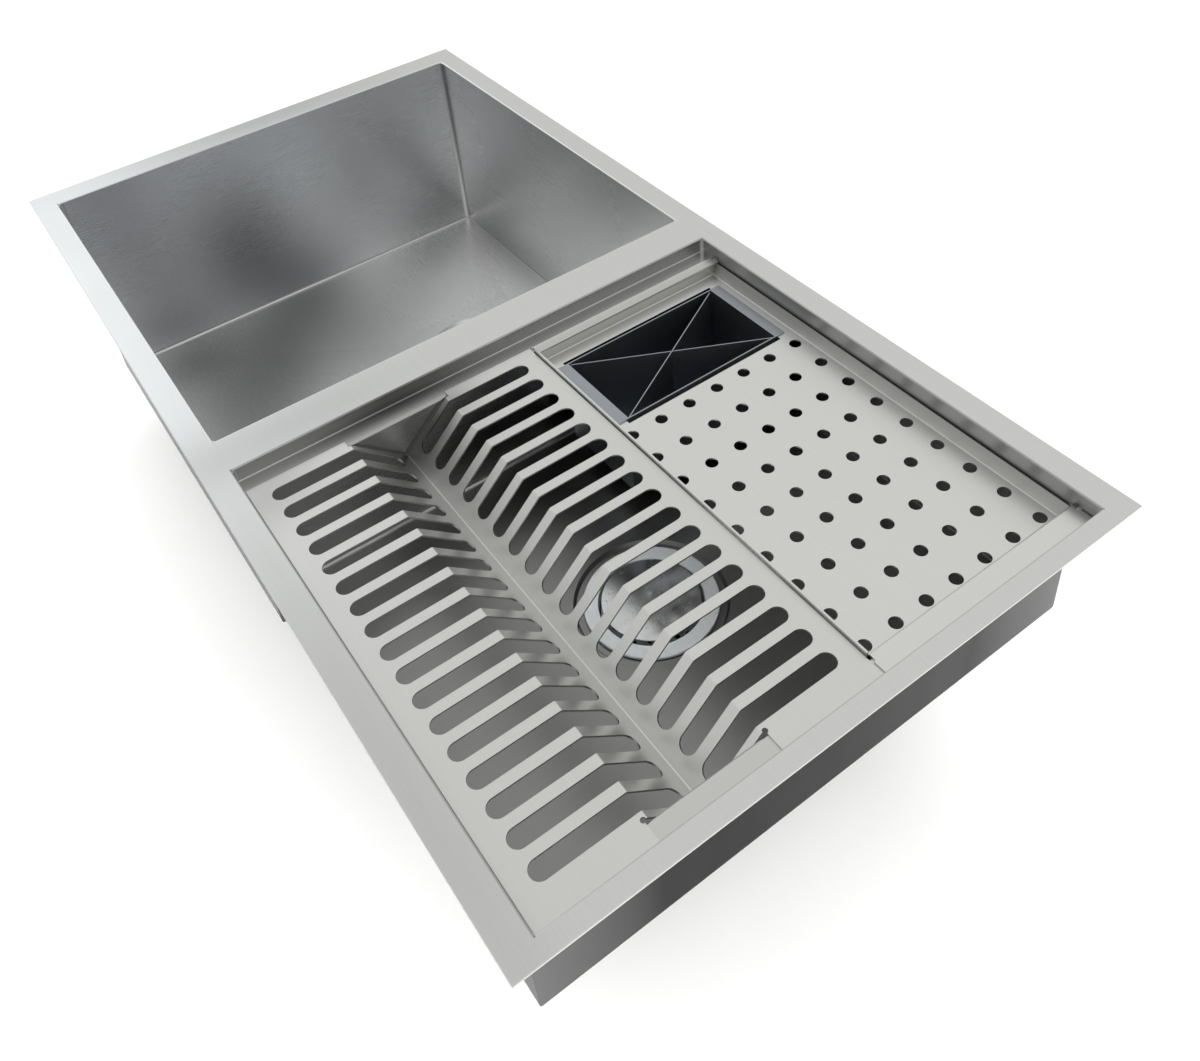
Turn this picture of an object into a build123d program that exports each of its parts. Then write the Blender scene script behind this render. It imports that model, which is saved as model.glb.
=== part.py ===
from build123d import *
import math
import os

# Kitchen sink with a deep main bowl and a shallow channel bowl, in millimetres.
# X runs along the sink from the main bowl to the channel bowl, Y from front to rear, Z up.
# The origin is the middle of the flange on its underside, where it lies on the worktop.

# Flange and bowls
flange_t = 1.5
flange_edge_r = 0.4
rim_far = 25.0
rim_near = 13.0
rim_front = 20.0
rim_rear = 20.0
divider_w = 35.0
main_l = 401.0
channel_l = 376.0
bowl_w = 403.0
main_depth = 197.0
channel_depth = 108.4
sheet_t = 1.2
floor_bend_r = 1.0
opening_edge_r = 1.0
floor_fall = 2.5

# Ledges at the two ends of the channel bowl
ledge_drop = 12.0
ledge_w = 17.0
ledge_bend_r = 1.2

# Drain seats in the floors
main_drain_from_end = 213.0
main_drain_from_rear = 111.5
channel_drain_from_end = 171.0
channel_drain_from_rear = 201.5
drain_pad_w = 136.0
recess_gap = 4.5
recess_slant = 2.0
recess_depth = 3.0

# Strainer body, a cup that hangs in the floor by its ring
mouth_r = 36.5
neck_wall = 1.8
neck_play = 0.7
ring_w = 11.0
ring_t = 1.8
ring_dish = 0.6
ring_edge_r = 0.5
cup_depth = 34.0
cup_floor_t = 1.5
outlet_r = 23.9
outlet_wall = 2.4
outlet_l = 25.0

# Seals and nut of the drain
ring_gasket_t = 1.0
ring_gasket_inset = 1.0
ring_gasket_play = 0.5
under_gasket_t = 3.0
under_gasket_w = 9.0
washer_t = 1.0
washer_w = 8.0
nut_play = 0.2
nut_h = 10.0
nut_w = 5.0
lug_count = 6
lug_l = 3.5
lug_w = 9.0

# Basket, seal, stem and cap, which lift out of the cup
basket_play = 0.9
basket_t = 0.8
basket_h = 22.0
basket_taper = 4.0
basket_rim_w = 1.6
basket_hole_r = 2.0
basket_ring_counts = (7, 12, 17)
basket_ring_pitch = 7.0
basket_ring_land = 4.2
basket_wall_hole_count = 12
basket_wall_rows = (8.0, 14.5)
seal_t = 3.0
seal_lap = 4.5
stem_r = 4.0
stem_shank_r = 3.0
stem_foot_r = 6.5
stem_foot_t = 2.0
stem_pin_r = 2.4
stem_pin_l = 4.0
cap_play = 2.2
cap_t = 1.0
cap_crown = 2.6
cap_above_ring = 0.3
cap_boss_h = 7.0
cap_boss_wall = 2.2
cap_boss_play = 0.3

# Both inserts lie on the ledges, pushed to the near end of the channel bowl
insert_near_play = 0.4
insert_far_bearing = 3.7
insert_near_gap = 1.0
insert_far_gap = 2.5
rack_front_gap = 1.7
rack_tray_gap = 0.8
tray_rear_gap = 0.9

# Plate rack
rack_w = 225.3
rack_v_w = 75.7
rack_v_depth = 35.2
rack_bend_r = 0.8
slot_pitch = 19.8
slot_w = 12.5
slot_from_edge = 12.5
slot_to_fold = 10.7
slot_end_land = 4.0
rack_relief_r = 1.7

# Drying tray
tray_drop = 10.8
tray_front_h = 13.8
tray_rear_h = 8.6
tray_rear_lean = 4.4
tray_bend_r = 1.0
tray_lip_inset = 0.7
tray_end_strip = 6.0
tray_relief_l = 5.0
tray_relief_w = 2.0
tray_hole_r = 4.5
tray_hole_pitch_x = 27.5
tray_hole_pitch_y = 25.0
tray_hole_from_cutout = 11.0
tray_hole_from_front = 9.9
tray_hole_land = 3.5

# Cutlery box, which hangs in the tray's cut-out
box_l = 75.0
box_w = 136.0
box_t = 1.0
box_depth = 73.5
box_bend_r = 2.0
box_play_x = 3.4
box_play_y = 1.2
box_lip_w = 8.0
cutout_from_end = 13.0
cutout_from_front = 15.1

# X divider in the cutlery box, two plates lapped at their middles
divider_plate_t = 0.8
divider_end_play = 1.2
divider_corner_cut = 2.5
divider_lap_play = 0.3
divider_below_rim = 1.0

# How far a cut runs past the face it opens, and how near an edge lies to count as on a level
cut_past = 1.0
level_band = 0.01

# Places that follow from the sizes
flange_l = rim_far + main_l + divider_w + channel_l + rim_near
flange_w = rim_front + bowl_w + rim_rear
front_y = rim_front - flange_w / 2
rear_y = front_y + bowl_w
main_x0 = rim_far - flange_l / 2
main_x1 = main_x0 + main_l
channel_x0 = main_x1 + divider_w
channel_x1 = channel_x0 + channel_l
pit_x0 = channel_x0 + ledge_w
pit_x1 = channel_x1 - ledge_w
ledge_z = flange_t - ledge_drop
main_floor_z = flange_t - main_depth
channel_floor_z = flange_t - channel_depth
main_drain = (main_x0 + main_drain_from_end, rear_y - main_drain_from_rear)
channel_drain = (pit_x0 + channel_drain_from_end, rear_y - channel_drain_from_rear)

# The drain, from its ring outwards and down
neck_r = mouth_r + neck_wall
ring_r = mouth_r + ring_w
drain_hole_r = neck_r + neck_play
recess_floor_r = ring_r + recess_gap
recess_top_r = recess_floor_r + recess_slant
seat_drop = floor_fall + recess_depth

# The inserts, from the ledges and walls they lie against
insert_x0 = pit_x0 - insert_far_bearing
insert_x1 = channel_x1 - ledge_bend_r - insert_near_play
inner_x0 = pit_x0 + insert_far_gap
inner_x1 = pit_x1 - insert_near_gap
insert_top_z = ledge_z + sheet_t
rack_y0 = front_y + rack_front_gap
rack_y1 = rack_y0 + rack_w
rack_fold_y = (rack_y0 + rack_y1) / 2
rack_fold_z = insert_top_z - rack_v_depth
tray_y0 = rack_y1 + rack_tray_gap
tray_y1 = rear_y - tray_rear_gap
tray_floor_z = insert_top_z - tray_drop
tray_foot_y = tray_y1 - tray_rear_lean - sheet_t

# The cutlery box and its cut-out
box_outer_l = box_l + 2 * box_t
box_outer_w = box_w + 2 * box_t
cutout_x0 = inner_x0 + cutout_from_end
cutout_x1 = cutout_x0 + box_outer_l + 2 * box_play_x
cutout_y0 = tray_y0 + cutout_from_front
cutout_y1 = cutout_y0 + box_outer_w + 2 * box_play_y
box_x0 = cutout_x0 + box_play_x
box_y0 = cutout_y0 + box_play_y
box_bottom_z = tray_floor_z - box_depth


def block(x0, x1, y0, y1, z0, z1):
    """Block between two opposite corners."""
    middle = Pos((x0 + x1) / 2, (y0 + y1) / 2, (z0 + z1) / 2)
    return middle * Box(x1 - x0, y1 - y0, z1 - z0)


def tub(x0, x1, y0, y1, z0, z1, radius):
    """Block with its four bottom edges rounded, as a pressed tub or the hollow in it."""
    solid = block(x0, x1, y0, y1, z0, z1)
    return fillet(solid.edges().group_by(Axis.Z)[0], radius)


def trough(x0, x1, y0, y1, z0, z1, radius):
    """Block with the two bottom edges along X rounded, as a sheet bent up at front and rear."""
    solid = block(x0, x1, y0, y1, z0, z1)
    long_edges = solid.edges().filter_by(Axis.X).group_by(Axis.Z)[0]
    return fillet(long_edges, radius)


def disc(x, y, z0, z1, radius):
    """Upright cylinder from z0 to z1."""
    return Pos(x, y, (z0 + z1) / 2) * Cylinder(radius, z1 - z0)


def ring(x, y, z0, z1, outer_r, inner_r):
    """Flat washer or tube from z0 to z1."""
    return disc(x, y, z0, z1, outer_r) - disc(x, y, z0 - cut_past, z1 + cut_past, inner_r)


def turned(outline, x, y):
    """Solid turned about an upright axis from an outline of (radius, height) points."""
    half = Plane.XZ * make_face(Polyline(*outline, close=True))
    return Pos(x, y, 0) * revolve(half, Axis.Z)


def on_circle(count, radius, x, y, z):
    """Places spaced evenly on a circle."""
    turn = 2 * math.pi / count
    return [Pos(x + radius * math.cos(i * turn), y + radius * math.sin(i * turn), z) for i in range(count)]


def offset_corner(before, corner, after, distance):
    """Corner of a folded line's parallel, at a distance to its left."""
    ux, uy = unit(before, corner)
    vx, vy = unit(corner, after)
    stretch = distance / (1 + ux * vx + uy * vy)
    return (corner[0] - (uy + vy) * stretch, corner[1] + (ux + vx) * stretch)


def unit(start, end):
    """Direction from one flat point to another."""
    length = math.dist(start, end)
    return ((end[0] - start[0]) / length, (end[1] - start[1]) / length)


def parallel(points, distance):
    """Line parallel to a folded line, at a distance to its left."""
    first = unit(points[0], points[1])
    last = unit(points[-2], points[-1])
    start = (points[0][0] - first[1] * distance, points[0][1] + first[0] * distance)
    end = (points[-1][0] - last[1] * distance, points[-1][1] + last[0] * distance)
    corners = [offset_corner(*points[i - 1:i + 2], distance) for i in range(1, len(points) - 1)]
    return [start, *corners, end]


def side_radii(points, thickness, bend_r, left):
    """Radius of each bend on one side of a folded sheet: the tight one inside, the wide one outside."""
    radii = []
    for before, corner, after in zip(points, points[1:], points[2:]):
        ux, uy = unit(before, corner)
        vx, vy = unit(corner, after)
        turns_left = ux * vy - uy * vx > 0
        radii.append(bend_r if turns_left == left else bend_r + thickness)
    return radii


def folded(points, thickness, bend_r):
    """Cross-section of a sheet folded along points, which run down its middle."""
    left = parallel(points, thickness / 2)
    right = parallel(points, -thickness / 2)
    left_side = FilletPolyline(*left, radius=side_radii(points, thickness, bend_r, True))
    right_side = FilletPolyline(*right, radius=side_radii(points, thickness, bend_r, False))
    ends = [Line(left[0], right[0]), Line(left[-1], right[-1])]
    return make_face(left_side.edges() + right_side.edges() + ends)


def folded_along_x(points, x0, x1, thickness, bend_r):
    """Folded sheet whose cross-section in Y and Z runs from x0 to x1."""
    face = Plane(origin=(x0, 0, 0), x_dir=(0, 1, 0), z_dir=(1, 0, 0)) * folded(points, thickness, bend_r)
    return extrude(face, x1 - x0, dir=(1, 0, 0))


def folded_along_y(points, y0, y1, thickness, bend_r):
    """Folded sheet whose cross-section in X and Z runs from y0 to y1."""
    face = Plane(origin=(0, y0, 0), x_dir=(1, 0, 0), z_dir=(0, -1, 0)) * folded(points, thickness, bend_r)
    return extrude(face, y1 - y0, dir=(0, 1, 0))


def falling(x0, x1, y0, y1, z, drain):
    """Space between a level floor outline and the lower square pad round the drain."""
    level = Pos((x0 + x1) / 2, (y0 + y1) / 2, z) * Rectangle(x1 - x0, y1 - y0)
    pad = Pos(drain[0], drain[1], z - floor_fall) * Rectangle(drain_pad_w, drain_pad_w)
    return loft([level, pad], ruled=True)


def recess(drain, z, grow):
    """Round recess for the drain ring, below a pad at height z."""
    middle = Pos(drain[0], drain[1], z - recess_depth / 2)
    return middle * Cone(recess_floor_r + grow, recess_top_r + grow, recess_depth)


def drained_floor(shell, x0, x1, floor_z, drain):
    """Bowl shell whose floor falls to the drain, with the recess and the hole for the strainer."""
    edge = (x0, x1, front_y + floor_bend_r, rear_y - floor_bend_r)
    pad_z = floor_z - floor_fall
    shell = shell + falling(*edge, floor_z - sheet_t, drain) + recess(drain, pad_z - sheet_t, sheet_t)
    shell = shell - falling(*edge, floor_z, drain) - recess(drain, pad_z, 0)
    return shell - disc(*drain, floor_z - 2 * seat_drop, floor_z, drain_hole_r)


def deck_flange():
    """Flat plate round both bowls."""
    plate = block(-flange_l / 2, flange_l / 2, -flange_w / 2, flange_w / 2, 0, flange_t)
    plate = chamfer(plate.edges().group_by(Axis.Z)[-1], flange_edge_r)
    heights = (-cut_past, flange_t + cut_past)
    for x0, x1 in ((main_x0, main_x1), (channel_x0, channel_x1)):
        plate -= block(x0 - sheet_t, x1 + sheet_t, front_y - sheet_t, rear_y + sheet_t, *heights)
    return plate


def top_inner_edges(solid):
    """Edges along X where the front and rear walls meet the opening."""
    level = (flange_t - level_band, flange_t + level_band)
    edges = solid.edges().filter_by(Axis.X).filter_by_position(Axis.Z, *level)
    return edges.filter_by_position(Axis.Y, front_y - level_band, rear_y + level_band)


def main_bowl_shell():
    """Front wall, floor and rear wall of the main bowl, bent from one sheet."""
    x0 = main_x0 - sheet_t
    x1 = main_x1 + sheet_t
    outer = trough(x0, x1, front_y - sheet_t, rear_y + sheet_t, main_floor_z - sheet_t, flange_t,
                   floor_bend_r + sheet_t)
    inner = trough(x0 - cut_past, x1 + cut_past, front_y, rear_y, main_floor_z, flange_t + cut_past,
                   floor_bend_r)
    shell = drained_floor(outer - inner, main_x0, main_x1, main_floor_z, main_drain)
    return fillet(top_inner_edges(shell), opening_edge_r)


def main_bowl_end(x0, x1, open_x):
    """Flat end wall of the main bowl, rounded at its lower corners to sit in the bent shell."""
    wall = trough(x0, x1, front_y, rear_y, main_floor_z, flange_t, floor_bend_r)
    top = wall.edges().filter_by(Axis.Y).group_by(Axis.Z)[-1]
    return fillet(top.sort_by_distance((open_x, 0, flange_t))[0], opening_edge_r)


def channel_bowl_shell():
    """Front wall, floor and rear wall of the channel bowl, with its shoulders beside the ledges."""
    x0 = pit_x0 - sheet_t
    x1 = pit_x1 + sheet_t
    outer = trough(x0, x1, front_y - sheet_t, rear_y + sheet_t, channel_floor_z - sheet_t, flange_t,
                   floor_bend_r + sheet_t)
    inner = trough(x0 - cut_past, x1 + cut_past, front_y, rear_y, channel_floor_z, flange_t + cut_past,
                   floor_bend_r)
    shell = drained_floor(outer - inner, pit_x0, pit_x1, channel_floor_z, channel_drain)
    for y0, y1 in ((front_y - sheet_t, front_y), (rear_y, rear_y + sheet_t)):
        shell += block(channel_x0 - sheet_t, channel_x1 + sheet_t, y0, y1, ledge_z - sheet_t, flange_t)
    return fillet(top_inner_edges(shell), opening_edge_r)


def channel_end(wall_x, pit_x):
    """Stepped end wall of the channel bowl: short wall, ledge and long wall, folded from one sheet."""
    outward = math.copysign(sheet_t / 2, wall_x - pit_x)
    ledge_mid_z = ledge_z - sheet_t / 2
    points = [
        (wall_x + outward, flange_t),
        (wall_x + outward, ledge_mid_z),
        (pit_x + outward, ledge_mid_z),
        (pit_x + outward, channel_floor_z),
    ]
    panel = folded_along_y(points, front_y, rear_y, sheet_t, ledge_bend_r)
    panel &= trough(channel_x0 - 2 * sheet_t, channel_x1 + 2 * sheet_t, front_y, rear_y,
                    channel_floor_z, flange_t, floor_bend_r)
    top = panel.edges().filter_by(Axis.Y).group_by(Axis.Z)[-1]
    middle = (pit_x, 0, flange_t)
    return fillet(top.sort_by_distance(middle)[0], opening_edge_r)


def strainer_body(drain, seat_z):
    """Cup with its visible ring, threaded neck and outlet."""
    ring_z = seat_z + ring_gasket_t
    cup_z = ring_z - cup_depth
    outlet_z = cup_z - cup_floor_t - outlet_l
    outline = [
        (ring_r, ring_z),
        (ring_r, ring_z + ring_t - ring_edge_r),
        (ring_r - ring_edge_r, ring_z + ring_t),
        (mouth_r + ring_edge_r, ring_z + ring_t - ring_dish),
        (mouth_r, ring_z + ring_t - ring_dish - ring_edge_r),
        (mouth_r, cup_z),
        (outlet_r - outlet_wall, cup_z),
        (outlet_r - outlet_wall, outlet_z),
        (outlet_r, outlet_z),
        (outlet_r, cup_z - cup_floor_t),
        (neck_r, cup_z - cup_floor_t),
        (neck_r, ring_z),
    ]
    return turned(outline, *drain)


def ring_gasket(drain, seat_z):
    """Thin seal between the ring and the recess."""
    bore = drain_hole_r + ring_gasket_play
    return ring(*drain, seat_z, seat_z + ring_gasket_t, ring_r - ring_gasket_inset, bore)


def lock_nut(drain, top_z):
    """Ring nut with lugs that clamps the neck from below."""
    bore = neck_r + nut_play
    nut = disc(*drain, top_z - nut_h, top_z, bore + nut_w)
    lug = Pos(*drain, top_z - nut_h / 2) * Box(2 * (bore + nut_w + lug_l), lug_w, nut_h)
    for i in range(lug_count // 2):
        nut += lug.rotate(Axis((*drain, 0), (0, 0, 1)), 360 * i / lug_count)
    return nut - disc(*drain, top_z - nut_h - cut_past, top_z + cut_past, bore)


def basket(drain, floor_z):
    """Perforated cup that stands on the seal."""
    rim_r = mouth_r - basket_play
    wall_top_r = rim_r - basket_rim_w
    wall_low_r = wall_top_r - basket_taper
    top_z = floor_z + basket_h
    outline = [
        (stem_shank_r, floor_z),
        (wall_low_r, floor_z),
        (wall_top_r, top_z - basket_t),
        (rim_r, top_z - basket_t),
        (rim_r, top_z),
        (wall_top_r - basket_t, top_z),
        (wall_low_r - basket_t, floor_z + basket_t),
        (stem_shank_r, floor_z + basket_t),
    ]
    cup = turned(outline, *drain)
    punch = Cylinder(basket_hole_r, 2 * basket_hole_r)
    punches = []
    for i, count in enumerate(basket_ring_counts):
        circle = stem_foot_r + basket_ring_land + i * basket_ring_pitch
        punches += [place * punch for place in on_circle(count, circle, *drain, floor_z)]
    side = Rot(0, 90, 0) * punch
    for row, height in enumerate(basket_wall_rows):
        radius = wall_low_r + basket_taper * height / basket_h
        for i in range(basket_wall_hole_count):
            turn = Rot(0, 0, 360 * (i + row / 2) / basket_wall_hole_count)
            punches.append(Pos(*drain, floor_z + height) * turn * Pos(radius, 0, 0) * side)
    return cup - punches


def seal_disc(drain, cup_z):
    """Rubber disc under the basket that closes the outlet."""
    return ring(*drain, cup_z, cup_z + seal_t, outlet_r - outlet_wall + seal_lap, stem_shank_r)


def stem(drain, cup_z, shoulder_z):
    """Post through seal and basket, with a foot below, a collar above and a pin for the cap."""
    collar_z = cup_z + seal_t + basket_t
    outline = [
        (0, cup_z - stem_foot_t),
        (stem_foot_r, cup_z - stem_foot_t),
        (stem_foot_r, cup_z),
        (stem_shank_r, cup_z),
        (stem_shank_r, collar_z),
        (stem_foot_r, collar_z),
        (stem_foot_r, collar_z + stem_foot_t),
        (stem_r, collar_z + stem_foot_t),
        (stem_r, shoulder_z),
        (stem_pin_r, shoulder_z),
        (stem_pin_r, shoulder_z + stem_pin_l),
        (0, shoulder_z + stem_pin_l),
    ]
    return turned(outline, *drain)


def dome_arc(radius, rim_z, crown):
    """Shallow arc from the middle of a cap to its rim."""
    sphere_r = (radius ** 2 + crown ** 2) / (2 * crown)
    half = radius / 2
    half_z = rim_z + math.sqrt(sphere_r ** 2 - half ** 2) - (sphere_r - crown)
    return ThreePointArc((0, rim_z + crown), (half, half_z), (radius, rim_z))


def cap(drain, rim_z, shoulder_z):
    """Low polished dome over the mouth, with a boss that drops onto the stem's pin."""
    cap_r = mouth_r - cap_play
    bore = stem_pin_r + cap_boss_play
    middle_z = rim_z + cap_crown
    top = dome_arc(cap_r, rim_z, cap_crown)
    under = dome_arc(cap_r, rim_z - cap_t, cap_crown)
    rim = Line((cap_r, rim_z), (cap_r, rim_z - cap_t))
    axis_line = Line((0, middle_z), (0, middle_z - cap_t))
    dome = revolve(Plane.XZ * make_face([top, rim, under, axis_line]), Axis.Z)
    boss = ring(0, 0, shoulder_z, middle_z - cap_t / 2, bore + cap_boss_wall, bore)
    return Pos(*drain, 0) * (dome + boss)


def drain_pieces(name, drain, floor_z):
    """The nine pieces of one drain, by node name."""
    seat_z = floor_z - seat_drop
    ring_z = seat_z + ring_gasket_t
    cup_z = ring_z - cup_depth
    basket_z = cup_z + seal_t
    under_z = seat_z - sheet_t
    washer_z = under_z - under_gasket_t
    cap_rim_z = ring_z + ring_t + cap_above_ring + cap_t
    shoulder_z = cap_rim_z + cap_crown - cap_t - cap_boss_h
    seal_r = neck_r + nut_play
    pieces = {
        "strainer_body": strainer_body(drain, seat_z),
        "flange_gasket": ring_gasket(drain, seat_z),
        "under_gasket": ring(*drain, washer_z, under_z, seal_r + under_gasket_w, seal_r),
        "friction_washer": ring(*drain, washer_z - washer_t, washer_z, seal_r + washer_w, seal_r),
        "lock_nut": lock_nut(drain, washer_z - washer_t),
        "basket": basket(drain, basket_z),
        "basket_seal": seal_disc(drain, cup_z),
        "basket_stem": stem(drain, cup_z, shoulder_z),
        "cap": cap(drain, cap_rim_z, shoulder_z),
    }
    return {f"{name}_drain_{piece}": solid for piece, solid in pieces.items()}


def slot_cutters(x, side):
    """Tools for one slot of the rack: over the wing and down the slope on one side of the fold."""
    run = rack_v_w / 2
    slope_l = math.hypot(run, rack_v_depth)
    overrun = slot_w / 2 + 2 * sheet_t
    wing_l = (rack_w - rack_v_w) / 2 - slot_from_edge + overrun
    wing_y = rack_fold_y + side * (rack_w / 2 - slot_from_edge - wing_l / 2)
    flat = Pos(x, wing_y, insert_top_z) * Rot(0, 0, 90) * SlotOverall(wing_l, slot_w)
    slope_slot_l = slope_l - slot_to_fold + overrun
    along = (slope_l - slot_to_fold - overrun) / 2 / slope_l
    middle = (x, rack_fold_y + side * run * (1 - along), insert_top_z - rack_v_depth * along)
    down = (0, -side * run, -rack_v_depth)
    normal = (0, -side * rack_v_depth, run)
    tilted = Plane(origin=middle, x_dir=down, z_dir=normal) * SlotOverall(slope_slot_l, slot_w)
    return [extrude(flat, 2 * sheet_t, both=True), extrude(tilted, 3 * sheet_t, both=True)]


def slot_places():
    """Middles of the rack's slots along X, as many as the trough holds."""
    room = inner_x1 - inner_x0 - 2 * slot_end_land - slot_w
    count = int(room / slot_pitch) + 1
    middle = (inner_x0 + inner_x1) / 2
    return [middle + (i - (count - 1) / 2) * slot_pitch for i in range(count)]


def plate_rack():
    """Slotted sheet with a V trough for plates; its wings end in tabs that lie on the ledges."""
    mid_z = insert_top_z - sheet_t / 2
    trough_y0 = rack_fold_y - rack_v_w / 2
    trough_y1 = rack_fold_y + rack_v_w / 2
    points = [
        (rack_y0, mid_z),
        (trough_y0, mid_z),
        (rack_fold_y, mid_z - rack_v_depth),
        (trough_y1, mid_z),
        (rack_y1, mid_z),
    ]
    sheet = folded_along_x(points, insert_x0, insert_x1, sheet_t, rack_bend_r)
    heights = (insert_top_z - 2 * rack_v_depth, insert_top_z + cut_past)
    gap_y0 = trough_y0 - rack_bend_r - sheet_t
    gap_y1 = trough_y1 + rack_bend_r + sheet_t
    sheet -= block(insert_x0 - cut_past, inner_x0, gap_y0, gap_y1, *heights)
    sheet -= block(inner_x1, insert_x1 + cut_past, gap_y0, gap_y1, *heights)
    cutters = [disc(inner_x1, y, *heights, rack_relief_r) for y in (gap_y0, gap_y1)]
    for x in slot_places():
        cutters += slot_cutters(x, -1) + slot_cutters(x, 1)
    return sheet - cutters


def spaced(first, last, pitch):
    """Places at a steady pitch from the first, up to the last allowed."""
    return [first + i * pitch for i in range(int((last - first) / pitch) + 1)]


def tray_fold():
    """Middle line of the tray's sheet across X: front wall, floor and leaning rear wall."""
    floor_z = tray_floor_z - sheet_t / 2
    front_mid_y = tray_y0 + sheet_t / 2
    rear_mid_y = tray_y1 - sheet_t / 2
    return [
        (front_mid_y, tray_floor_z + tray_front_h),
        (front_mid_y, floor_z),
        (rear_mid_y - tray_rear_lean, floor_z),
        (rear_mid_y, tray_floor_z + tray_rear_h),
    ]


def tray_end(lip_x, wall_x, inward_x):
    """One end of the tray: lip over the ledge, end wall and a strip of floor, folded from one sheet."""
    lip_z = insert_top_z - sheet_t / 2
    floor_z = tray_floor_z - sheet_t / 2
    fold = [(lip_x, lip_z), (wall_x, lip_z), (wall_x, floor_z), (inward_x, floor_z)]
    panel = folded_along_y(fold, tray_y0, tray_y1, sheet_t, tray_bend_r)
    outside = parallel(tray_fold(), -sheet_t / 2)
    sides = FilletPolyline(*outside, radius=tray_bend_r + sheet_t)
    top = Polyline(outside[-1], (tray_y1, insert_top_z), (tray_y1, outside[0][1]), outside[0])
    outline = Plane.YZ * make_face(sides.edges() + top.edges())
    return panel & extrude(outline, flange_l / 2, dir=(1, 0, 0))


def drying_tray():
    """Shallow folded pan with drain holes, lips over the ledges and a cut-out for the cutlery box."""
    under_z = tray_floor_z - sheet_t
    heights = (under_z - cut_past, insert_top_z + cut_past)
    pan = folded_along_x(tray_fold(), inner_x0, inner_x1, sheet_t, tray_bend_r)
    pan &= tub(inner_x0, inner_x1, tray_y0, tray_y1, under_z, flange_t, tray_bend_r + sheet_t)
    half_t = sheet_t / 2
    pan += tray_end(insert_x0, inner_x0 + half_t, inner_x0 + tray_end_strip)
    pan += tray_end(insert_x1, inner_x1 - half_t, inner_x1 - tray_end_strip)
    for lip, relief in (((insert_x0 - cut_past, inner_x0), (inner_x0 - tray_relief_l, inner_x0)),
                        ((inner_x1, insert_x1 + cut_past), (inner_x1, inner_x1 + tray_relief_l))):
        pan -= block(*lip, tray_y0 - cut_past, tray_y0 + tray_lip_inset, *heights)
        pan -= block(*relief, tray_y0 - cut_past, tray_y0 + tray_relief_w, *heights)
        pan -= block(*relief, tray_y1 - tray_relief_w, tray_y1 + cut_past, *heights)
    pan -= block(cutout_x0, cutout_x1, cutout_y0, cutout_y1, under_z - cut_past, tray_floor_z + cut_past)
    last_x = inner_x1 - sheet_t - tray_hole_land - tray_hole_r
    last_y = tray_foot_y - tray_hole_land - tray_hole_r
    columns = spaced(cutout_x1 + tray_hole_from_cutout, last_x, tray_hole_pitch_x)
    rows = spaced(tray_y0 + tray_hole_from_front, last_y, tray_hole_pitch_y)
    punch = (under_z - cut_past, tray_floor_z + cut_past, tray_hole_r)
    return pan - [disc(x, y, *punch) for x in columns for y in rows]


def cutlery_box():
    """Deep open box that hangs by two lips on the tray's floor."""
    box_x1 = box_x0 + box_outer_l
    box_y1 = box_y0 + box_outer_w
    rim_z = tray_floor_z + box_t
    box = tub(box_x0, box_x1, box_y0, box_y1, box_bottom_z, rim_z, box_bend_r)
    box -= tub(box_x0 + box_t, box_x1 - box_t, box_y0 + box_t, box_y1 - box_t, box_bottom_z + box_t,
               rim_z + cut_past, box_bend_r - box_t)
    box += block(box_x0, box_x1, box_y0 - box_lip_w, box_y0, tray_floor_z, rim_z)
    return box + block(box_x0, box_x1, box_y1, box_y1 + box_lip_w, tray_floor_z, rim_z)


def cutlery_divider(side):
    """Upright plate from corner to corner of the cutlery box, slit to half its height at the middle."""
    low_z = box_bottom_z + box_t
    high_z = tray_floor_z + box_t - divider_below_rim
    mid_z = (low_z + high_z) / 2
    length = math.hypot(box_l, box_w) - 2 * divider_end_play
    crossing = 2 * math.atan2(box_l, box_w)
    slit_w = divider_plate_t * (1 + math.cos(crossing)) / math.sin(crossing) + divider_lap_play
    plate = block(-length / 2, length / 2, -divider_plate_t / 2, divider_plate_t / 2, low_z, high_z)
    plate = chamfer(plate.edges().filter_by(Axis.Y).group_by(Axis.Z)[0], divider_corner_cut)
    slit = (low_z - cut_past, mid_z) if side > 0 else (mid_z, high_z + cut_past)
    plate -= block(-slit_w / 2, slit_w / 2, -cut_past, cut_past, *slit)
    place = Pos(box_x0 + box_outer_l / 2, box_y0 + box_outer_w / 2, 0)
    return place * Rot(0, 0, side * math.degrees(math.atan2(box_w, box_l))) * plate


nodes = {
    "deck_flange": deck_flange(),
    "main_bowl_shell": main_bowl_shell(),
    "main_bowl_end_outer": main_bowl_end(main_x0 - sheet_t, main_x0, main_x0),
    "main_bowl_end_divider": main_bowl_end(main_x1, main_x1 + sheet_t, main_x1),
    "channel_bowl_shell": channel_bowl_shell(),
    "channel_end_divider": channel_end(channel_x0, pit_x0),
    "channel_end_outer": channel_end(channel_x1, pit_x1),
    **drain_pieces("main", main_drain, main_floor_z),
    **drain_pieces("channel", channel_drain, channel_floor_z),
    "plate_rack": plate_rack(),
    "drying_tray": drying_tray(),
    "cutlery_box": cutlery_box(),
    "cutlery_divider_a": cutlery_divider(1),
    "cutlery_divider_b": cutlery_divider(-1),
}

os.makedirs("parts", exist_ok=True)
for node, solid in nodes.items():
    export_step(solid, f"parts/{node}.step")
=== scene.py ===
import math
from collections import namedtuple

import bmesh
import bpy
from mathutils import Matrix, Vector


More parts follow.
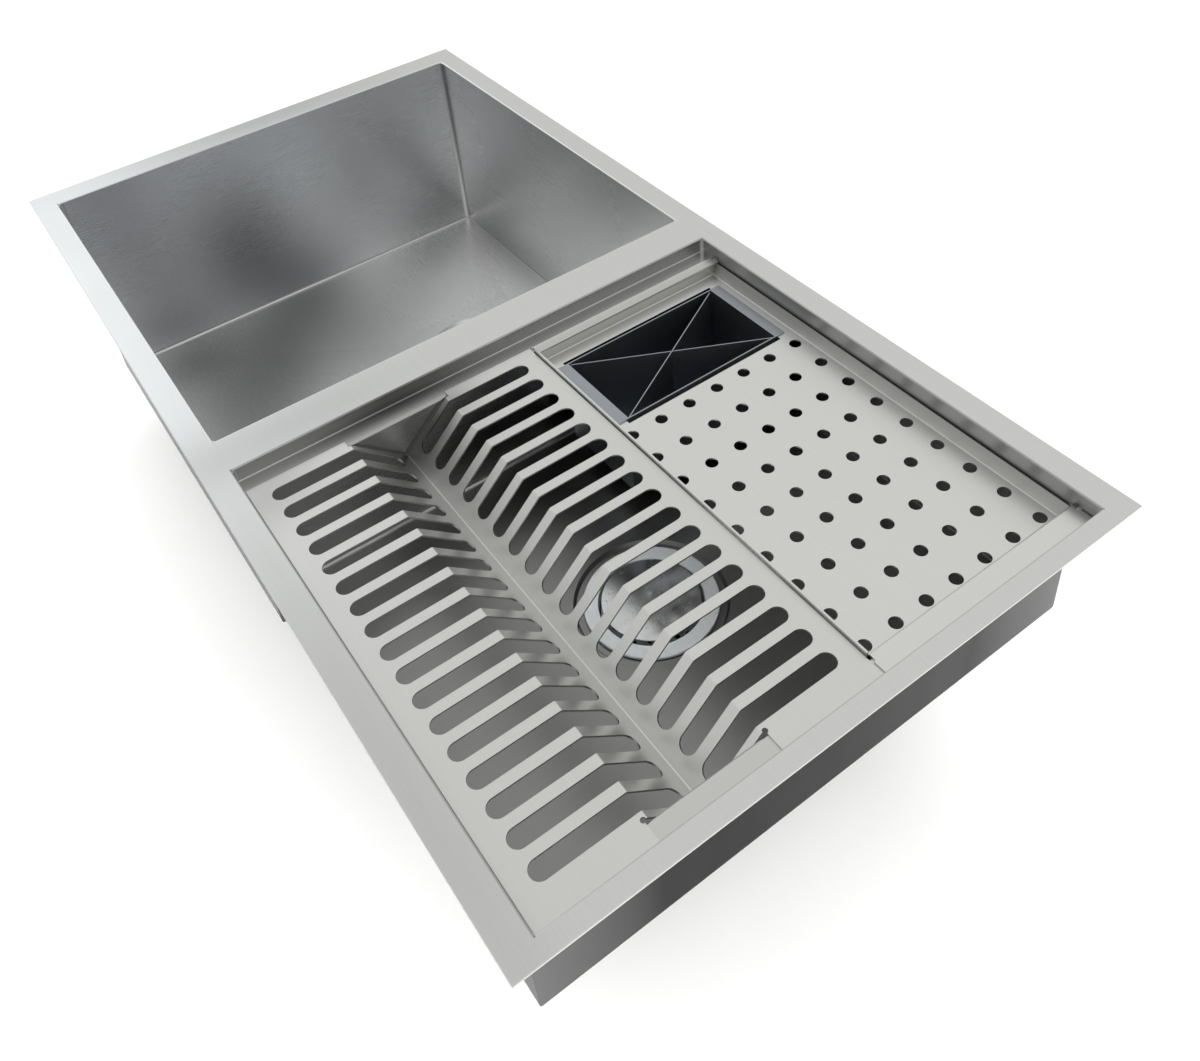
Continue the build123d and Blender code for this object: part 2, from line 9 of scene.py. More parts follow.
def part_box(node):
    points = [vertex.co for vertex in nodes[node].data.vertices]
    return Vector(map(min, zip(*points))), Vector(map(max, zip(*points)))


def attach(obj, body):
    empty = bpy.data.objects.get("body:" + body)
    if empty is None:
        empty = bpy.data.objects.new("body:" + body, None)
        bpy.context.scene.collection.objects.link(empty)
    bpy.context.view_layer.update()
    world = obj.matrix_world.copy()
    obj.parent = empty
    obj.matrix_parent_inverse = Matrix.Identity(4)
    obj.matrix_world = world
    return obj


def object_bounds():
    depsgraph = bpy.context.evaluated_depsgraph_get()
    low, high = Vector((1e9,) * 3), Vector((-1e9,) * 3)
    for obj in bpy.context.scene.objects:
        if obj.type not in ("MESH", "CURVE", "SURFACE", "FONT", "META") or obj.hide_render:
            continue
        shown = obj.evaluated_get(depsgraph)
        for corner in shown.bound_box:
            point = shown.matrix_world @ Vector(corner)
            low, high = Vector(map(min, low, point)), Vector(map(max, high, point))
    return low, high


# Kitchen sink with a main bowl and a channel bowl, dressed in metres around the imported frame.

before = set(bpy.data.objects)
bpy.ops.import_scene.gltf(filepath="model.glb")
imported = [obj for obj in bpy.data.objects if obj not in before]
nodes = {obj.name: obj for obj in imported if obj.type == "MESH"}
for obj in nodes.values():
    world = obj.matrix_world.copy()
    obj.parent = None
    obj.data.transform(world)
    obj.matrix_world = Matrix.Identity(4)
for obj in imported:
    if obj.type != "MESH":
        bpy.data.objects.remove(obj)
cad_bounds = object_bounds()

Grain = namedtuple("Grain", "stretch spread")
# A spot of painted shade: where it lies, how far it reaches and how much it darkens
PaintedShade = namedtuple("PaintedShade", "middle size depth")
Glow = namedtuple("Glow", "toward sharpness colour")
Lamp = namedtuple("Lamp", "name place target size power")

# The photograph's view
PHOTO_SIZE = (1200, 1061)
CAMERA_PLACE = (0.65581, -0.28162, 0.55028)
CAMERA_AZIMUTH = math.radians(58.474)
CAMERA_ELEVATION = math.radians(37.989)
CAMERA_ROLL = math.radians(-5.975)
CAMERA_SENSOR = 36.0
CAMERA_CLIP = 0.01
FOCAL_PIXELS = 1179.95
OPTICAL_CENTRE_ROW = 309.0

# Bowls, from the frame. The low and high corners of the deck and of the four end walls
_, deck_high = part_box("deck_flange")
main_far_low, main_far_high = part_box("main_bowl_end_outer")
main_near_low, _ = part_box("main_bowl_end_divider")
pit_far_low, pit_far_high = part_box("channel_end_divider")
pit_near_low, pit_near_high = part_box("channel_end_outer")

# Inside faces of the bowls. The channel is longer above its ledges than in the pit below them
SHEET_T = main_far_high.x - main_far_low.x
LEDGE_DROP = 0.012
DECK_Z = deck_high.z
LEDGE_Z = DECK_Z - LEDGE_DROP
MAIN_FLOOR_Z = main_far_low.z
PIT_FLOOR_Z = pit_far_low.z
WALL_Y = main_far_high.y
MAIN_X = (main_far_high.x, main_near_low.x)
PIT_X = (pit_far_high.x, pit_near_low.x)
CHANNEL_X = (pit_far_low.x + SHEET_T, pit_near_high.x - SHEET_T)
MAIN_MIDDLE_X = sum(MAIN_X) / 2
CHANNEL_MIDDLE_X = sum(CHANNEL_X) / 2

# Ground welds in the corners of the bowls
CORNER_R = 0.0045
FLOOR_WELD_R = 0.0028
LEDGE_CORNER_R = 0.0025
WELD_BURY = 0.0003
WELD_BELOW_EDGE = 0.0012
WELD_BELOW_LEDGE = 0.001
WELD_STEPS = 10
WELD_SHARP_ANGLE = math.radians(30)

# Grinding: scratches are drawn out along the axis whose stretch is small, and their gloss spreads along
# the spread direction. The welds have no anisotropy, so theirs spreads evenly
EVEN = (1, 1, 1)
LYING_GRAIN = Grain((0.012, 1, 1), (0, 1, 0))
SHELL_GRAIN = Grain((0.012, 1, 1), (0, 1, 0.9))
BOX_GRAIN = Grain((0.012, 1, 1), (0, 0, 1))
END_GRAIN = Grain((1, 0.012, 1), (0, 0, 1))
WELD_GRAIN = Grain((1, 1, 0.05), (0, 0, 1))
SEED_STEP = (1, 0.7, 1.3)

# Scratches and wide smears of ground steel
SCRATCH_SCALE = 1500
SCRATCH_DETAIL = 2
SCRATCH_CONTRAST = 0.02
SCRATCH_BUMP = 0.03
SCRATCH_DEPTH = 0.0001
SMEAR_SCALE = 7
SMEAR_DETAIL = 2
SMEAR_GLOSS = 0.02
SMEAR_SEED = 5

# Outside of the bowls: rolled steel, painted dark as shade in the middle with soft upright streaks of painted
# reflection, and painted light towards the front and rear walls.
# A face is outside when it looks away from a place above the bowl's middle
BOWL_CONTRAST = 0.015
OUTSIDE_FROM_Z = 0.05
OUTSIDE_STRETCH = (1, 1, 0.12)
OUTSIDE_SCALE = 14
OUTSIDE_DETAIL = 2
OUTSIDE_SEED = 9
OUTSIDE_ROUGHER = 0.12
# Painted shade of the outside walls, darkest and palest, and painted light on the outside front and rear
# walls
OUTSIDE_PAINTED_SHADE_DARKEST = (0.010, 0.010, 0.010)
OUTSIDE_PAINTED_SHADE_PALEST = (0.038, 0.038, 0.038)
OUTSIDE_PAINTED_LIGHT = (0.155, 0.155, 0.155)
PAINTED_LIGHT_FROM_MIDDLE = (0.12, 0.205)

# Swirls of polished steel, and how level a face lies for the painted light of a pale, partly diffuse top
SWIRL_SCALE = 220
SWIRL_DETAIL = 4
SWIRL_DARKEST = 0.94
SWIRL_SMOOTHEST = 0.8
SWIRL_ROUGHEST = 1.3
PAINTED_LIGHT_LEVEL = (0.85, 0.95)

# Grain of rubber and fibre
DULL_DETAIL = 5
DULL_ROUGHNESS_STEP = 0.08
DULL_BUMP = 0.3
DULL_DEPTH = 0.0002

# Painted shade: soft dark spots on the ground steel where the bowls, rack and tray lie in shade
DECK_PAINTED_SHADE = (
    PaintedShade(middle=(-0.42, 0.0, DECK_Z), size=(0.03, 0.14, 1.0), depth=0.27),
    PaintedShade(middle=(0.019, -0.16, DECK_Z), size=(0.03, 0.12, 1.0), depth=0.20),
    PaintedShade(middle=(0.30, -0.215, DECK_Z), size=(0.20, 0.02, 1.0), depth=0.12),
)
MAIN_SHELL_PAINTED_SHADE = (
    PaintedShade(middle=(-0.20, -0.137, -0.17), size=(1.5, 0.073, 0.12), depth=0.60),
    PaintedShade(middle=(-0.36, -0.150, MAIN_FLOOR_Z), size=(0.04, 0.050, 0.05), depth=0.35),
    PaintedShade(middle=(-0.35, -0.010, MAIN_FLOOR_Z), size=(0.12, 0.065, 0.05), depth=0.43),
    PaintedShade(middle=(-0.31, 0.205, MAIN_FLOOR_Z), size=(0.12, 0.035, 0.04), depth=0.30),
)
MAIN_END_PAINTED_SHADE = (
    PaintedShade(middle=(MAIN_X[0], -0.055, -0.12), size=(0.3, 0.07, 0.10), depth=0.64),
    PaintedShade(middle=(MAIN_X[0], 0.000, -0.19), size=(0.3, 0.07, 0.05), depth=0.45),
    PaintedShade(middle=(MAIN_X[0], 0.085, -0.10), size=(0.3, 0.09, 0.09), depth=0.33),
    PaintedShade(middle=(MAIN_X[0], 0.155, -0.18), size=(0.3, 0.06, 0.05), depth=0.50),
)
PIT_SHELL_PAINTED_SHADE = (
    PaintedShade(middle=(0.08, 0.0, PIT_FLOOR_Z), size=(0.05, 0.08, 0.05), depth=0.60),
)
PIT_FAR_PAINTED_SHADE = (
    PaintedShade(middle=(CHANNEL_X[0], -0.08, -0.003), size=(0.006, 0.06, 0.03), depth=0.60),
    PaintedShade(middle=(PIT_X[0], -0.02, -0.065), size=(0.03, 0.09, 0.035), depth=0.75),
)
PIT_NEAR_PAINTED_SHADE = (
    PaintedShade(middle=(0.40, 0.0, -0.075), size=(1.0, 1.0, 0.035), depth=0.45),
)
RACK_PAINTED_SHADE = (
    PaintedShade(middle=(0.060, -0.062, -0.03), size=(0.016, 0.03, 0.03), depth=0.70),
    PaintedShade(middle=(0.09, -0.065, -0.032), size=(0.07, 0.035, 0.025), depth=0.42),
    PaintedShade(middle=(0.062, -0.19, -0.009), size=(0.03, 0.04, 0.02), depth=0.25),
)
TRAY_PAINTED_SHADE = (
    PaintedShade(middle=(0.22, 0.20, -0.016), size=(1.0, 0.006, 0.05), depth=0.45),
    PaintedShade(middle=(0.057, 0.11, -0.015), size=(0.006, 1.0, 1.0), depth=0.25),
)

# Room: a pale floor, soft surroundings and lamps that glossy metal doesn't mirror
FLOOR_SIZE = 12.0
FLOOR_GAP = 0.0005
FLOOR_GRAIN_SCALE = 6
FLOOR_GRAIN_DETAIL = 3
FLOOR_SEED = 12
FLOOR_DARK = (0.93, 0.93, 0.93)
FLOOR_LIGHT = (0.95, 0.95, 0.95)
FLOOR_ROUGHNESS = 0.9
WORLD_BASE = (0.80, 0.80, 0.79)
WORLD_GLOWS = (
    Glow(toward=(-0.84, -0.04, 0.54), sharpness=55, colour=(1.10, 1.18, 1.26)),
    Glow(toward=(0.8, -0.45, 0.5), sharpness=3, colour=(0.35, 0.34, 0.33)),
    Glow(toward=(-0.36, 0.55, 0.75), sharpness=10, colour=(0.10, 0.10, 0.09)),
)
LAMPS = (
    Lamp("overhead", place=(0, 0, 3.2), target=(0, 0, 0), size=(5, 5), power=80),
    Lamp("near_fill", place=(3.0, 0.6, 0.9), target=(0.5, 0, -0.26), size=(3, 1.5), power=60),
    Lamp("front_fill", place=(-0.6, -3.0, 0.9), target=(-0.1, -0.3, -0.26), size=(3, 1.5), power=45),
)


def new_material(name):
    """Empty node material with its output and Principled shader."""
    material = bpy.data.materials.new(name)
    material.use_nodes = True
    tree = material.node_tree
    tree.nodes.clear()
    output = tree.nodes.new("ShaderNodeOutputMaterial")
    shader = tree.nodes.new("ShaderNodeBsdfPrincipled")
    tree.links.new(shader.outputs["BSDF"], output.inputs["Surface"])
    return material, tree, shader


def math_node(tree, operation, *values):
    """Result of a Math node whose inputs are sockets or numbers."""
    node = tree.nodes.new("ShaderNodeMath")
    node.operation = operation
    for socket, value in zip(node.inputs, values):
        if isinstance(value, (int, float)):
            socket.default_value = value
        else:
            tree.links.new(value, socket)
    return node.outputs["Value"]


def vector_node(tree, operation, first, second):
    """Result of a Vector Math node, from a socket and a fixed vector or a second socket."""
    node = tree.nodes.new("ShaderNodeVectorMath")
    node.operation = operation
    tree.links.new(first, node.inputs[0])
    if isinstance(second, tuple):
        node.inputs[1].default_value = second
    else:
        tree.links.new(second, node.inputs[1])
    return node.outputs["Value" if operation == "DOT_PRODUCT" else "Vector"]


def scaled(tree, vector, amount):
    """Vector or colour times a number, both from sockets."""
    node = tree.nodes.new("ShaderNodeVectorMath")
    node.operation = "SCALE"
    tree.links.new(vector, node.inputs["Vector"])
    tree.links.new(amount, node.inputs["Scale"])
    return node.outputs["Vector"]


def fixed_vector(tree, vector):
    """Constant vector as a socket, where an input takes no value of its own."""
    node = tree.nodes.new("ShaderNodeCombineXYZ")
    for axis, part in zip("XYZ", vector):
        node.inputs[axis].default_value = part
    return node.outputs["Vector"]


def object_place(tree):
    """Place on the object, in the frame's metres."""
    return tree.nodes.new("ShaderNodeTexCoord").outputs["Object"]


def face_normal(tree):
    """Direction that the face looks in."""
    return tree.nodes.new("ShaderNodeNewGeometry").outputs["True Normal"]


def streaks(tree, stretch, scale, detail, seed):
    """Noise in object coordinates, drawn out along an axis by a small stretch value on that axis."""
    mapping = tree.nodes.new("ShaderNodeMapping")
    mapping.inputs["Scale"].default_value = stretch
    mapping.inputs["Location"].default_value = tuple(seed * step for step in SEED_STEP)
    noise = tree.nodes.new("ShaderNodeTexNoise")
    noise.inputs["Scale"].default_value = scale
    noise.inputs["Detail"].default_value = detail
    tree.links.new(object_place(tree), mapping.inputs["Vector"])
    tree.links.new(mapping.outputs["Vector"], noise.inputs["Vector"])
    return noise.outputs["Fac"]


def remap(tree, value, low, high, start=0.3, end=0.7):
    """Value between start and end, spread between low and high and held there."""
    node = tree.nodes.new("ShaderNodeMapRange")
    node.inputs["From Min"].default_value = start
    node.inputs["From Max"].default_value = end
    node.inputs["To Min"].default_value = low
    node.inputs["To Max"].default_value = high
    tree.links.new(value, node.inputs["Value"])
    return node.outputs["Result"]


def mix_colours(tree, value, low, high):
    """Colour between two, by a value from 0 to 1."""
    mix = tree.nodes.new("ShaderNodeMix")
    mix.data_type = "RGBA"
    for name, colour in (("A", low), ("B", high)):
        if isinstance(colour, tuple):
            mix.inputs[name].default_value = (*colour, 1)
        else:
            tree.links.new(colour, mix.inputs[name])
    tree.links.new(value, mix.inputs["Factor"])
    return mix.outputs["Result"]


def shade(colour, factor):
    """Colour made lighter or darker."""
    return tuple(min(1.0, part * factor) for part in colour)


def add_bump(tree, shader, height, strength, distance):
    """Bump from a height, on the shader's normal."""
    bump = tree.nodes.new("ShaderNodeBump")
    bump.inputs["Strength"].default_value = strength
    bump.inputs["Distance"].default_value = distance
    tree.links.new(height, bump.inputs["Height"])
    tree.links.new(bump.outputs["Normal"], shader.inputs["Normal"])


def falloff(tree, middle, size):
    """Soft spot: 1 at its middle, fading to nothing over its size along each axis."""
    offset = vector_node(tree, "SUBTRACT", object_place(tree), middle)
    reach = vector_node(tree, "DIVIDE", offset, size)
    square = vector_node(tree, "DOT_PRODUCT", reach, reach)
    return math_node(tree, "POWER", math.e, math_node(tree, "MULTIPLY", square, -1))


def with_painted_shade(tree, colour, painted_shades):
    """Colour darkened by spots of painted shade."""
    for shade_spot in painted_shades:
        shade_amount = math_node(tree, "MULTIPLY", falloff(tree, shade_spot.middle, shade_spot.size), shade_spot.depth)
        colour = scaled(tree, colour, math_node(tree, "SUBTRACT", 1, shade_amount))
    return colour


def ground(tree, tint, roughness, grain, seed, contrast, painted_shades):
    """Colour, roughness and height of stainless steel ground along one direction, its colour darkened by
    spots of painted shade.
    """
    fine = streaks(tree, grain.stretch, SCRATCH_SCALE, SCRATCH_DETAIL, seed)
    smears = streaks(tree, EVEN, SMEAR_SCALE, SMEAR_DETAIL, seed + SMEAR_SEED)
    colour = mix_colours(tree, remap(tree, fine, 0, 1), shade(tint, 1 - contrast), shade(tint, 1 + contrast))
    scratched = remap(tree, fine, -contrast / 2, contrast / 2)
    smeared = remap(tree, smears, roughness - SMEAR_GLOSS, roughness + SMEAR_GLOSS)
    return with_painted_shade(tree, colour, painted_shades), math_node(tree, "ADD", scratched, smeared), fine


def finish_steel(tree, shader, colour, roughness, fine, spread, anisotropy):
    """Sets up bare metal with scratches that spread its gloss."""
    tree.links.new(colour, shader.inputs["Base Color"])
    tree.links.new(roughness, shader.inputs["Roughness"])
    add_bump(tree, shader, fine, SCRATCH_BUMP, SCRATCH_DEPTH)
    tree.links.new(fixed_vector(tree, spread), shader.inputs["Tangent"])
    shader.inputs["Metallic"].default_value = 1
    shader.inputs["Anisotropic"].default_value = anisotropy


def brushed_steel(name, tint, roughness, grain, seed, painted_shades=(), anisotropy=0.5):
    """Stainless steel ground along one direction, with fine scratches, faint wide smears and spots of painted
    shade.
    """
    material, tree, shader = new_material(name)
    colour, gloss, fine = ground(tree, tint, roughness, grain, seed, SCRATCH_CONTRAST, painted_shades)
    finish_steel(tree, shader, colour, gloss, fine, grain.spread, anisotropy)
    return material


def outside_painted_shade_and_light(tree, seed):
    """Rolled steel painted dark as shade, with soft upright streaks of painted reflection and painted light
    towards the front and rear.
    """
    smears = streaks(tree, OUTSIDE_STRETCH, OUTSIDE_SCALE, OUTSIDE_DETAIL, seed + OUTSIDE_SEED)
    shaded_streaks = mix_colours(tree, remap(tree, smears, 0, 1), OUTSIDE_PAINTED_SHADE_DARKEST, OUTSIDE_PAINTED_SHADE_PALEST)
    along_y = vector_node(tree, "DOT_PRODUCT", object_place(tree), (0, 1, 0))
    lit_towards_ends = remap(tree, math_node(tree, "ABSOLUTE", along_y), 0, 1, *PAINTED_LIGHT_FROM_MIDDLE)
    return mix_colours(tree, lit_towards_ends, shaded_streaks, OUTSIDE_PAINTED_LIGHT)


def bowl_steel(name, tint, roughness, grain, seed, middle_x, painted_shades, anisotropy=0.5):
    """Ground steel inside a bowl, with spots of painted shade, and rolled steel outside it, painted dark with
    streaks of painted reflection and with painted light towards the front and rear.
    """
    material, tree, shader = new_material(name)
    colour, gloss, fine = ground(tree, tint, roughness, grain, seed, BOWL_CONTRAST, painted_shades)
    outward = vector_node(tree, "SUBTRACT", object_place(tree), (middle_x, 0, OUTSIDE_FROM_Z))
    facing = vector_node(tree, "DOT_PRODUCT", outward, face_normal(tree))
    outside = math_node(tree, "GREATER_THAN", facing, 0)
    both_colours = mix_colours(tree, outside, colour, outside_painted_shade_and_light(tree, seed))
    rougher = math_node(tree, "ADD", gloss, math_node(tree, "MULTIPLY", outside, OUTSIDE_ROUGHER))
    finish_steel(tree, shader, both_colours, rougher, fine, grain.spread, anisotropy)
    return material


def polished_steel(name, tint, roughness, seed, painted_top_light=0):
    """Bright steel with faint polishing swirls, and painted light on the faces that look up: they turn pale
    and partly diffuse.
    """
    material, tree, shader = new_material(name)
    fine = streaks(tree, EVEN, SWIRL_SCALE, SWIRL_DETAIL, seed)
    colour = mix_colours(tree, remap(tree, fine, 0, 1), shade(tint, SWIRL_DARKEST), tint)
    gloss = remap(tree, fine, roughness * SWIRL_SMOOTHEST, roughness * SWIRL_ROUGHEST)
    tree.links.new(colour, shader.inputs["Base Color"])
    tree.links.new(gloss, shader.inputs["Roughness"])
    if painted_top_light:
        upward = vector_node(tree, "DOT_PRODUCT", face_normal(tree), (0, 0, 1))
        tree.links.new(remap(tree, upward, 1, 1 - painted_top_light, *PAINTED_LIGHT_LEVEL), shader.inputs["Metallic"])
    else:
        shader.inputs["Metallic"].default_value = 1
    return material


def dull(name, low, high, roughness, scale, seed):
    """Rubber or pressed fibre, with a fine uneven surface."""
    material, tree, shader = new_material(name)
    grain = streaks(tree, EVEN, scale, DULL_DETAIL, seed)
    rough = remap(tree, grain, roughness - DULL_ROUGHNESS_STEP, roughness + DULL_ROUGHNESS_STEP)
    tree.links.new(mix_colours(tree, remap(tree, grain, 0, 1), low, high), shader.inputs["Base Color"])
    tree.links.new(rough, shader.inputs["Roughness"])
    add_bump(tree, shader, grain, DULL_BUMP, DULL_DEPTH)
    return material


def assign(material, *names):
    """Gives CAD nodes a material in every slot."""
    for name in names:
        mesh = nodes[name].data
        if not mesh.materials:
            mesh.materials.append(material)
        for i in range(len(mesh.materials)):
            mesh.materials[i] = material


def dress_shell():
    """Materials of the flange and the two bowls."""
    assign(brushed_steel("deck_steel", tint=(0.64, 0.645, 0.635), roughness=0.30, grain=LYING_GRAIN, seed=1,
                         painted_shades=DECK_PAINTED_SHADE), "deck_flange")
    assign(bowl_steel("main_shell_steel", tint=(0.79, 0.795, 0.79), roughness=0.27, grain=SHELL_GRAIN, seed=2,
                      middle_x=MAIN_MIDDLE_X, painted_shades=MAIN_SHELL_PAINTED_SHADE), "main_bowl_shell")
    assign(bowl_steel("main_end_steel", tint=(0.72, 0.73, 0.75), roughness=0.27, grain=END_GRAIN, seed=3,
                      middle_x=MAIN_MIDDLE_X, painted_shades=MAIN_END_PAINTED_SHADE, anisotropy=0.6),
           "main_bowl_end_outer", "main_bowl_end_divider")
    # The channel's steel is tinted darker than the main bowl's: painted shade under the rack and tray
    assign(bowl_steel("channel_shell_shaded_steel", tint=(0.40, 0.40, 0.40), roughness=0.34, grain=SHELL_GRAIN,
                      seed=13, middle_x=CHANNEL_MIDDLE_X, painted_shades=PIT_SHELL_PAINTED_SHADE), "channel_bowl_shell")
    assign(bowl_steel("channel_end_shaded_steel", tint=(0.42, 0.42, 0.42), roughness=0.27, grain=END_GRAIN, seed=14,
                      middle_x=CHANNEL_MIDDLE_X, painted_shades=PIT_FAR_PAINTED_SHADE), "channel_end_divider")
    assign(bowl_steel("channel_near_end_shaded_steel", tint=(0.60, 0.60, 0.59), roughness=0.30, grain=END_GRAIN,
                      seed=16, middle_x=CHANNEL_MIDDLE_X, painted_shades=PIT_NEAR_PAINTED_SHADE), "channel_end_outer")


def dress_inserts():
    """Materials of the rack, the tray and the cutlery box."""
    assign(brushed_steel("rack_steel", tint=(0.66, 0.66, 0.645), roughness=0.32, grain=LYING_GRAIN, seed=4,
                         painted_shades=RACK_PAINTED_SHADE), "plate_rack")
    assign(brushed_steel("tray_steel", tint=(0.69, 0.69, 0.675), roughness=0.32, grain=LYING_GRAIN, seed=5,
                         painted_shades=TRAY_PAINTED_SHADE), "drying_tray")
    # Dark bluish tint: painted shade inside the deep cutlery box
    assign(brushed_steel("box_steel", tint=(0.34, 0.36, 0.39), roughness=0.30, grain=BOX_GRAIN, seed=6),
           "cutlery_box", "cutlery_divider_a", "cutlery_divider_b")


def dress_drains():
    """Materials of both drains."""
    # The ring's upward faces turn pale and partly diffuse: painted light from above
    ring_steel = polished_steel("ring_steel", tint=(0.93, 0.97, 0.99), roughness=0.42, seed=7, painted_top_light=0.9)
    cap_steel = polished_steel("cap_steel", tint=(0.95, 0.97, 0.98), roughness=0.22, seed=8)
    nut_metal = polished_steel("nut_metal", tint=(0.55, 0.54, 0.50), roughness=0.3, seed=9)
    rubber = dull("rubber", low=(0.015, 0.015, 0.017), high=(0.05, 0.05, 0.055), roughness=0.6, scale=300,
                  seed=10)
    fibre = dull("fibre", low=(0.30, 0.19, 0.10), high=(0.50, 0.36, 0.22), roughness=0.8, scale=500, seed=11)
    for drain in ("main_drain", "channel_drain"):
        assign(ring_steel, f"{drain}_strainer_body", f"{drain}_basket")
        assign(cap_steel, f"{drain}_cap", f"{drain}_basket_stem")
        assign(nut_metal, f"{drain}_lock_nut")
        assign(rubber, f"{drain}_flange_gasket", f"{drain}_under_gasket", f"{drain}_basket_seal")
        assign(fibre, f"{drain}_friction_washer")


def weld_profile(radius):
    """Hollow corner in two directions from a corner, buried a little in both walls."""
    arc = [math.pi * (1 + i / WELD_STEPS / 2) for i in range(WELD_STEPS + 1)]
    curve = [(radius * (1 + math.cos(angle)), radius * (1 + math.sin(angle))) for angle in arc]
    return [(-WELD_BURY, -WELD_BURY), (-WELD_BURY, radius), *curve, (radius, -WELD_BURY)]


def weld_mesh(name, corner, inward_a, inward_b, run, radius):
    """Hollow strip along a run, in the corner between two faces whose inward directions are given."""
    a, b, run = Vector(inward_a), Vector(inward_b), Vector(run)
    section = [Vector(corner) + a * u + b * v for u, v in weld_profile(radius)]
    count = len(section)
    points = section + [point + run for point in section]
    ends = [tuple(range(count)), tuple(range(2 * count - 1, count - 1, -1))]
    sides = [(i, (i + 1) % count, (i + 1) % count + count, i + count) for i in range(count)]
    mesh = bpy.data.meshes.new(name)
    mesh.from_pydata(points, [], ends + sides)
    work = bmesh.new()
    work.from_mesh(mesh)
    bmesh.ops.recalc_face_normals(work, faces=work.faces)
    work.to_mesh(mesh)
    work.free()
    for polygon in mesh.polygons:
        polygon.use_smooth = len(polygon.vertices) == 4
    mesh.set_sharp_from_angle(angle=WELD_SHARP_ANGLE)
    return mesh


def add_weld(name, mesh, weld_steel):
    """Weld from a mesh, fixed to the sink."""
    piece = bpy.data.objects.new(name, mesh)
    bpy.context.scene.collection.objects.link(piece)
    mesh.materials.append(weld_steel)
    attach(piece, "sink")


def both_ends(span):
    """Name, place and inward direction of a bowl's far and near end."""
    return ("far", span[0], 1), ("near", span[1], -1)


def add_upright_welds(kind, place, end, low, high, radius, weld_steel):
    """Welds in the front and rear corner at one end of a bowl."""
    name, x, into_x = end
    for side, y, into_y in (("front", -WALL_Y, 1), ("rear", WALL_Y, -1)):
        mesh = weld_mesh(kind, (x, y, low), (into_x, 0, 0), (0, into_y, 0), (0, 0, high - low), radius)
        add_weld(f"{place}_{name}_{side}", mesh, weld_steel)


def add_floor_weld(place, end, low, weld_steel):
    """Weld along the floor at one end of a bowl."""
    name, x, into_x = end
    run = (0, 2 * WALL_Y, 0)
    mesh = weld_mesh("floor_weld", (x, -WALL_Y, low), (into_x, 0, 0), (0, 0, 1), run, FLOOR_WELD_R)
    add_weld(f"{place}_{name}", mesh, weld_steel)


def add_welds():
    """Ground welds of both bowls: in the upright corners, along the floor at the ends, above the ledges."""
    weld_steel = brushed_steel("weld_steel", tint=(0.54, 0.545, 0.54), roughness=0.30, grain=WELD_GRAIN,
                               seed=15, anisotropy=0.0)
    top = DECK_Z - WELD_BELOW_EDGE
    bowls = (("main", MAIN_X, MAIN_FLOOR_Z, top), ("channel", PIT_X, PIT_FLOOR_Z, LEDGE_Z - WELD_BELOW_LEDGE))
    for bowl, span, low, high in bowls:
        for end in both_ends(span):
            add_upright_welds("corner_weld", f"{bowl}_corner_weld", end, low, high, CORNER_R, weld_steel)
            add_floor_weld(f"{bowl}_floor_weld", end, low, weld_steel)
    for end in both_ends(CHANNEL_X):
        add_upright_welds("ledge_weld", "channel_ledge_weld", end, LEDGE_Z, top, LEDGE_CORNER_R, weld_steel)


def add_camera():
    """Camera at the photograph's place, with the crop that moved its optical centre up."""
    camera = bpy.data.cameras.new("photo_view")
    camera.sensor_width = CAMERA_SENSOR
    camera.lens = CAMERA_SENSOR * FOCAL_PIXELS / PHOTO_SIZE[0]
    camera.shift_y = (OPTICAL_CENTRE_ROW - PHOTO_SIZE[1] / 2) / PHOTO_SIZE[0]
    camera.clip_start = CAMERA_CLIP
    holder = bpy.data.objects.new("photo_view", camera)
    turn = Matrix.Rotation(CAMERA_AZIMUTH, 4, "Z")
    tilt = Matrix.Rotation(math.pi / 2 - CAMERA_ELEVATION, 4, "X")
    roll = Matrix.Rotation(CAMERA_ROLL, 4, "Z")
    holder.matrix_world = Matrix.Translation(CAMERA_PLACE) @ turn @ tilt @ roll
    bpy.context.scene.collection.objects.link(holder)
    bpy.context.scene.camera = holder


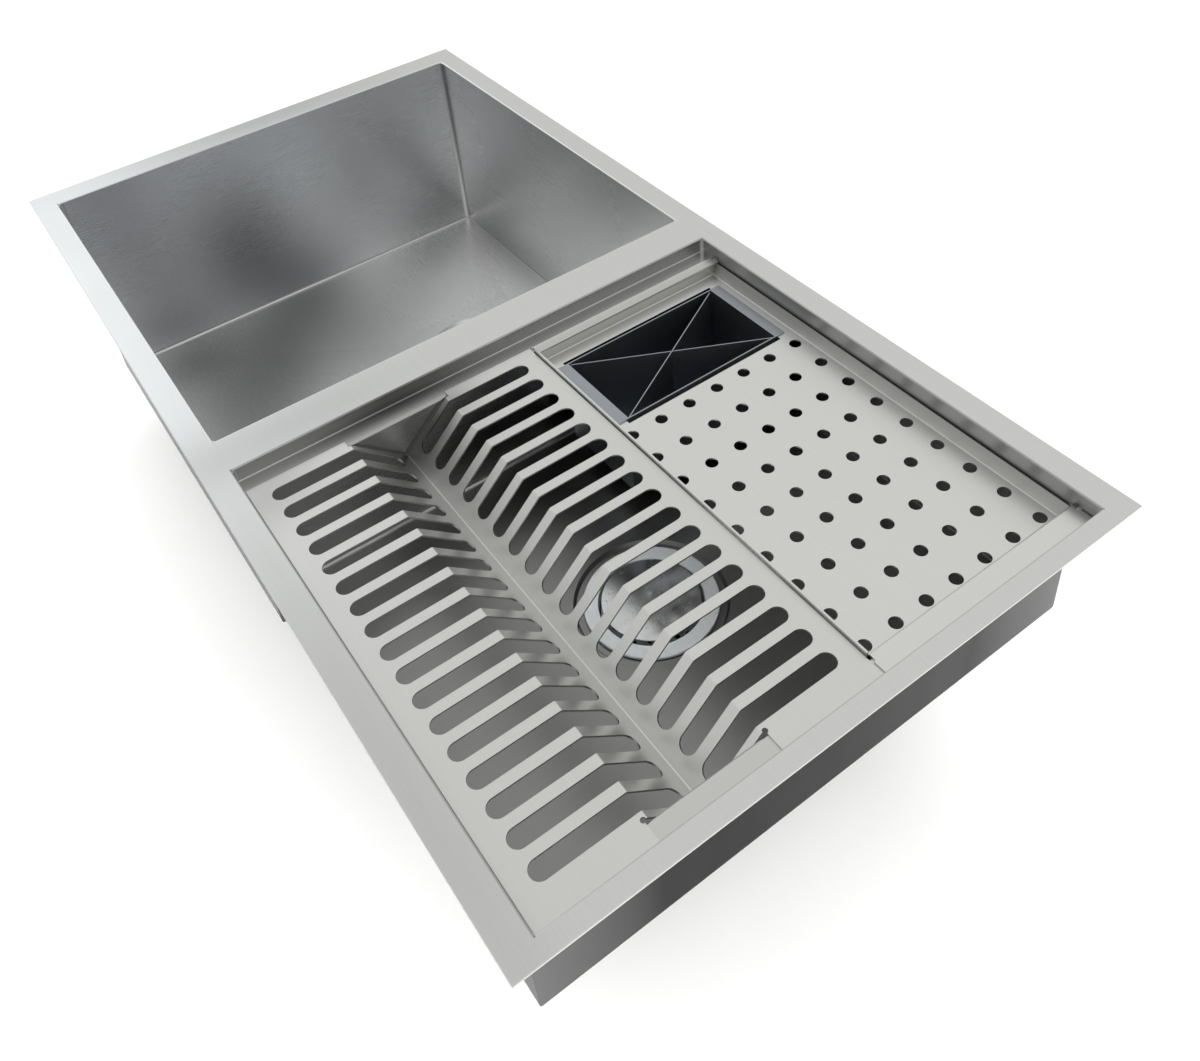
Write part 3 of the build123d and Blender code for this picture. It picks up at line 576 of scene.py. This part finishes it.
def add_floor():
    """Plain pale floor under the lowest point of the sink."""
    half = FLOOR_SIZE / 2
    low = cad_bounds[0][2] - FLOOR_GAP
    mesh = bpy.data.meshes.new("floor")
    corners = [(-half, -half, low), (half, -half, low), (half, half, low), (-half, half, low)]
    mesh.from_pydata(corners, [], [(0, 1, 2, 3)])
    floor = bpy.data.objects.new("floor", mesh)
    bpy.context.scene.collection.objects.link(floor)
    material, tree, shader = new_material("pale_floor")
    grain = streaks(tree, EVEN, FLOOR_GRAIN_SCALE, FLOOR_GRAIN_DETAIL, FLOOR_SEED)
    colour = mix_colours(tree, remap(tree, grain, 0, 1), FLOOR_DARK, FLOOR_LIGHT)
    tree.links.new(colour, shader.inputs["Base Color"])
    shader.inputs["Roughness"].default_value = FLOOR_ROUGHNESS
    mesh.materials.append(material)


def add_lamp(lamp):
    """Large soft light that points at a place and isn't mirrored in glossy metal."""
    light = bpy.data.lights.new(lamp.name, "AREA")
    light.shape = "RECTANGLE"
    light.size, light.size_y = lamp.size
    light.energy = lamp.power
    holder = bpy.data.objects.new(lamp.name, light)
    aim = (Vector(lamp.target) - Vector(lamp.place)).to_track_quat("-Z", "Y")
    holder.matrix_world = Matrix.Translation(lamp.place) @ aim.to_matrix().to_4x4()
    holder.visible_glossy = False
    bpy.context.scene.collection.objects.link(holder)


def add_world():
    """Soft surroundings: bright and bluish low at the far end, grey behind the camera."""
    world = bpy.data.worlds.new("studio")
    world.use_nodes = True
    tree = world.node_tree
    direction = tree.nodes.new("ShaderNodeTexCoord").outputs["Generated"]
    colour = fixed_vector(tree, WORLD_BASE)
    for glow in WORLD_GLOWS:
        toward = tuple(Vector(glow.toward).normalized())
        facing = math_node(tree, "MAXIMUM", vector_node(tree, "DOT_PRODUCT", direction, toward), 0)
        amount = math_node(tree, "POWER", facing, glow.sharpness)
        colour = vector_node(tree, "ADD", colour, scaled(tree, fixed_vector(tree, glow.colour), amount))
    tree.links.new(colour, tree.nodes["Background"].inputs["Color"])
    bpy.context.scene.world = world


dress_shell()
dress_inserts()
dress_drains()
add_camera()
add_floor()
add_welds()
add_world()
for lamp in LAMPS:
    add_lamp(lamp)
bpy.context.scene.view_settings.view_transform = "Standard"
